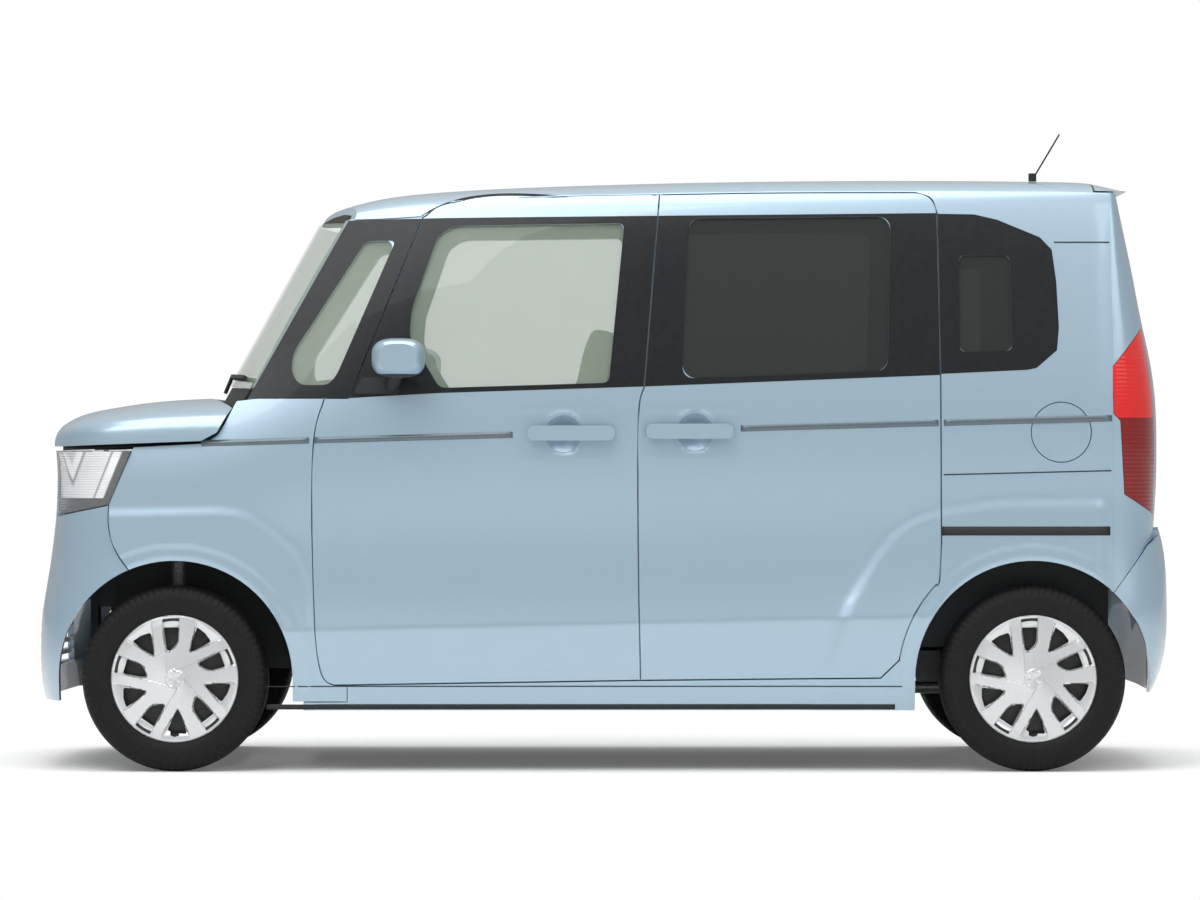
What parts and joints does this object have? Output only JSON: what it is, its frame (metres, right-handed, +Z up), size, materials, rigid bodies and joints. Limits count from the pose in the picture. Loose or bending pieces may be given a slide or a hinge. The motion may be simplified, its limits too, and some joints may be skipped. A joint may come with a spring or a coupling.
{
  "type": "kei car",
  "caption": "Tall boxy small car with hinged front doors, sliding rear side doors, bonnet and tailgate that open, steered front wheels and a furnished cabin.",
  "frame": {"origin": "on the ground under the middle of the car, centre of the bottom of the bounding box", "axes": "car faces -X, +X to the rear, -Y is the car's left side, +Z up"},
  "size_m": [3.3926, 1.752, 1.8953],
  "materials": {
    "paint": "pale metallic light blue, glossy",
    "underbody": "dull body-coloured primer",
    "black_trim": "satin black",
    "silver_trim": "bright silver",
    "clear_lamp": "clear lens",
    "red_lamp": "red lens",
    "light_glass": "light green tint",
    "privacy_glass": "dark privacy tint",
    "seat_fabric": "woven beige grey cloth",
    "cabin_plastic": "soft grained grey beige",
    "machinery": "cast and dull",
    "dark_steel": "black enamel",
    "exhaust_steel": "dull stainless",
    "tank_plastic": "black polyethylene",
    "cover_silver": "metallic silver lacquer",
    "tyre_rubber": "black rubber"
  },
  "bodies": {
    "body": {"inner_body": "underbody", "front_frame": "underbody", "front_wheel_housings": "underbody", "rear_wheel_housings": "underbody", "body_side_left": "paint", "body_side_right": "paint", "roof_panel": "paint", "front_fenders": "paint", "front_bumper": "paint", "front_grille": "silver_trim", "headlamps": "clear_lamp", "cowl_panel": "black_trim", "windscreen": "light_glass", "side_windows": "privacy_glass", "sliding_doors": "paint", "sliding_door_handles": "paint", "rear_bumper": "paint", "tail_lamps": "red_lamp", "front_wipers": "black_trim", "antenna": "black_trim", "front_seats": "seat_fabric", "rear_seats": "seat_fabric", "dashboard": "cabin_plastic", "engine_block": "machinery", "fuel_tank": "tank_plastic", "exhaust": "exhaust_steel", "rear_axle": "dark_steel", "front_subframe": "dark_steel"},
    "bonnet": {"bonnet": "paint"},
    "tailgate": {"tailgate": "paint", "tailgate_glass": "privacy_glass", "rear_wiper": "black_trim"},
    "fuel_lid": {"fuel_lid": "paint"},
    "steering_wheel": {"steering_wheel": "black_trim"},
    "door_left": {"door_left": "paint", "door_glass_left": "light_glass", "mirror_left": "paint", "door_handle_left": "paint"},
    "knuckle_left": {"knuckle_left": "machinery"},
    "wheel_front_left": {"tyre_front_left": "tyre_rubber", "wheel_front_left": "dark_steel", "wheel_cover_front_left": "cover_silver"},
    "wheel_rear_left": {"tyre_rear_left": "tyre_rubber", "wheel_rear_left": "dark_steel", "wheel_cover_rear_left": "cover_silver"},
    "door_right": {"door_right": "paint", "door_glass_right": "light_glass", "mirror_right": "paint", "door_handle_right": "paint"},
    "knuckle_right": {"knuckle_right": "machinery"},
    "wheel_front_right": {"tyre_front_right": "tyre_rubber", "wheel_front_right": "dark_steel", "wheel_cover_front_right": "cover_silver"},
    "wheel_rear_right": {"tyre_rear_right": "tyre_rubber", "wheel_rear_right": "dark_steel", "wheel_cover_rear_right": "cover_silver"}
  },
  "joints": [
    {"name": "door_left_hinge", "type": "hinge", "parent": "body", "child": "door_left", "pos_m": [-0.8548, -0.7375, 0.46799], "axis": [0, 0, -1], "range_deg": [0, 65]},
    {"name": "steer_left", "type": "hinge", "parent": "body", "child": "knuckle_left", "pos_m": [-1.2545, -0.54, 0.273], "axis": [0, 0, 1], "range_deg": [-34, 34]},
    {"name": "wheel_front_left_spin", "type": "hinge", "parent": "knuckle_left", "child": "wheel_front_left", "pos_m": [-1.2545, -0.6525, 0.273], "axis": [0, 1, 0], "continuous": true},
    {"name": "wheel_rear_left_spin", "type": "hinge", "parent": "body", "child": "wheel_rear_left", "pos_m": [1.2655, -0.6525, 0.273], "axis": [0, 1, 0], "continuous": true},
    {"name": "door_right_hinge", "type": "hinge", "parent": "body", "child": "door_right", "pos_m": [-0.8548, 0.7375, 0.46799], "axis": [0, 0, 1], "range_deg": [0, 65]},
    {"name": "steer_right", "type": "hinge", "parent": "body", "child": "knuckle_right", "pos_m": [-1.2545, 0.54, 0.273], "axis": [0, 0, 1], "range_deg": [-34, 34]},
    {"name": "wheel_front_right_spin", "type": "hinge", "parent": "knuckle_right", "child": "wheel_front_right", "pos_m": [-1.2545, 0.6525, 0.273], "axis": [0, 1, 0], "continuous": true},
    {"name": "wheel_rear_right_spin", "type": "hinge", "parent": "body", "child": "wheel_rear_right", "pos_m": [1.2655, 0.6525, 0.273], "axis": [0, 1, 0], "continuous": true},
    {"name": "steering_wheel_turn", "type": "hinge", "parent": "body", "child": "steering_wheel", "pos_m": [-0.4985, 0.31, 1.05607], "axis": [0.8817, 0, 0.4718], "range_deg": [-560, 560]},
    {"name": "bonnet_hinge", "type": "hinge", "parent": "body", "child": "bonnet", "pos_m": [-1.07608, 0, 1.10287], "axis": [0, 1, 0], "range_deg": [0, 45]},
    {"name": "tailgate_hinge", "type": "hinge", "parent": "body", "child": "tailgate", "pos_m": [1.45342, 0, 1.75187], "axis": [0, -1, 0], "range_deg": [0, 80]},
    {"name": "fuel_lid_hinge", "type": "hinge", "parent": "body", "child": "fuel_lid", "pos_m": [1.26101, -0.714, 0.99691], "axis": [0, 0, -1], "range_deg": [0, 90]}
  ],
  "couplings": [
    {"joint": "steer_right", "follows": "steer_left", "ratio": 1},
    {"joint": "steering_wheel_turn", "follows": "steer_left", "ratio": 16}
  ]
}
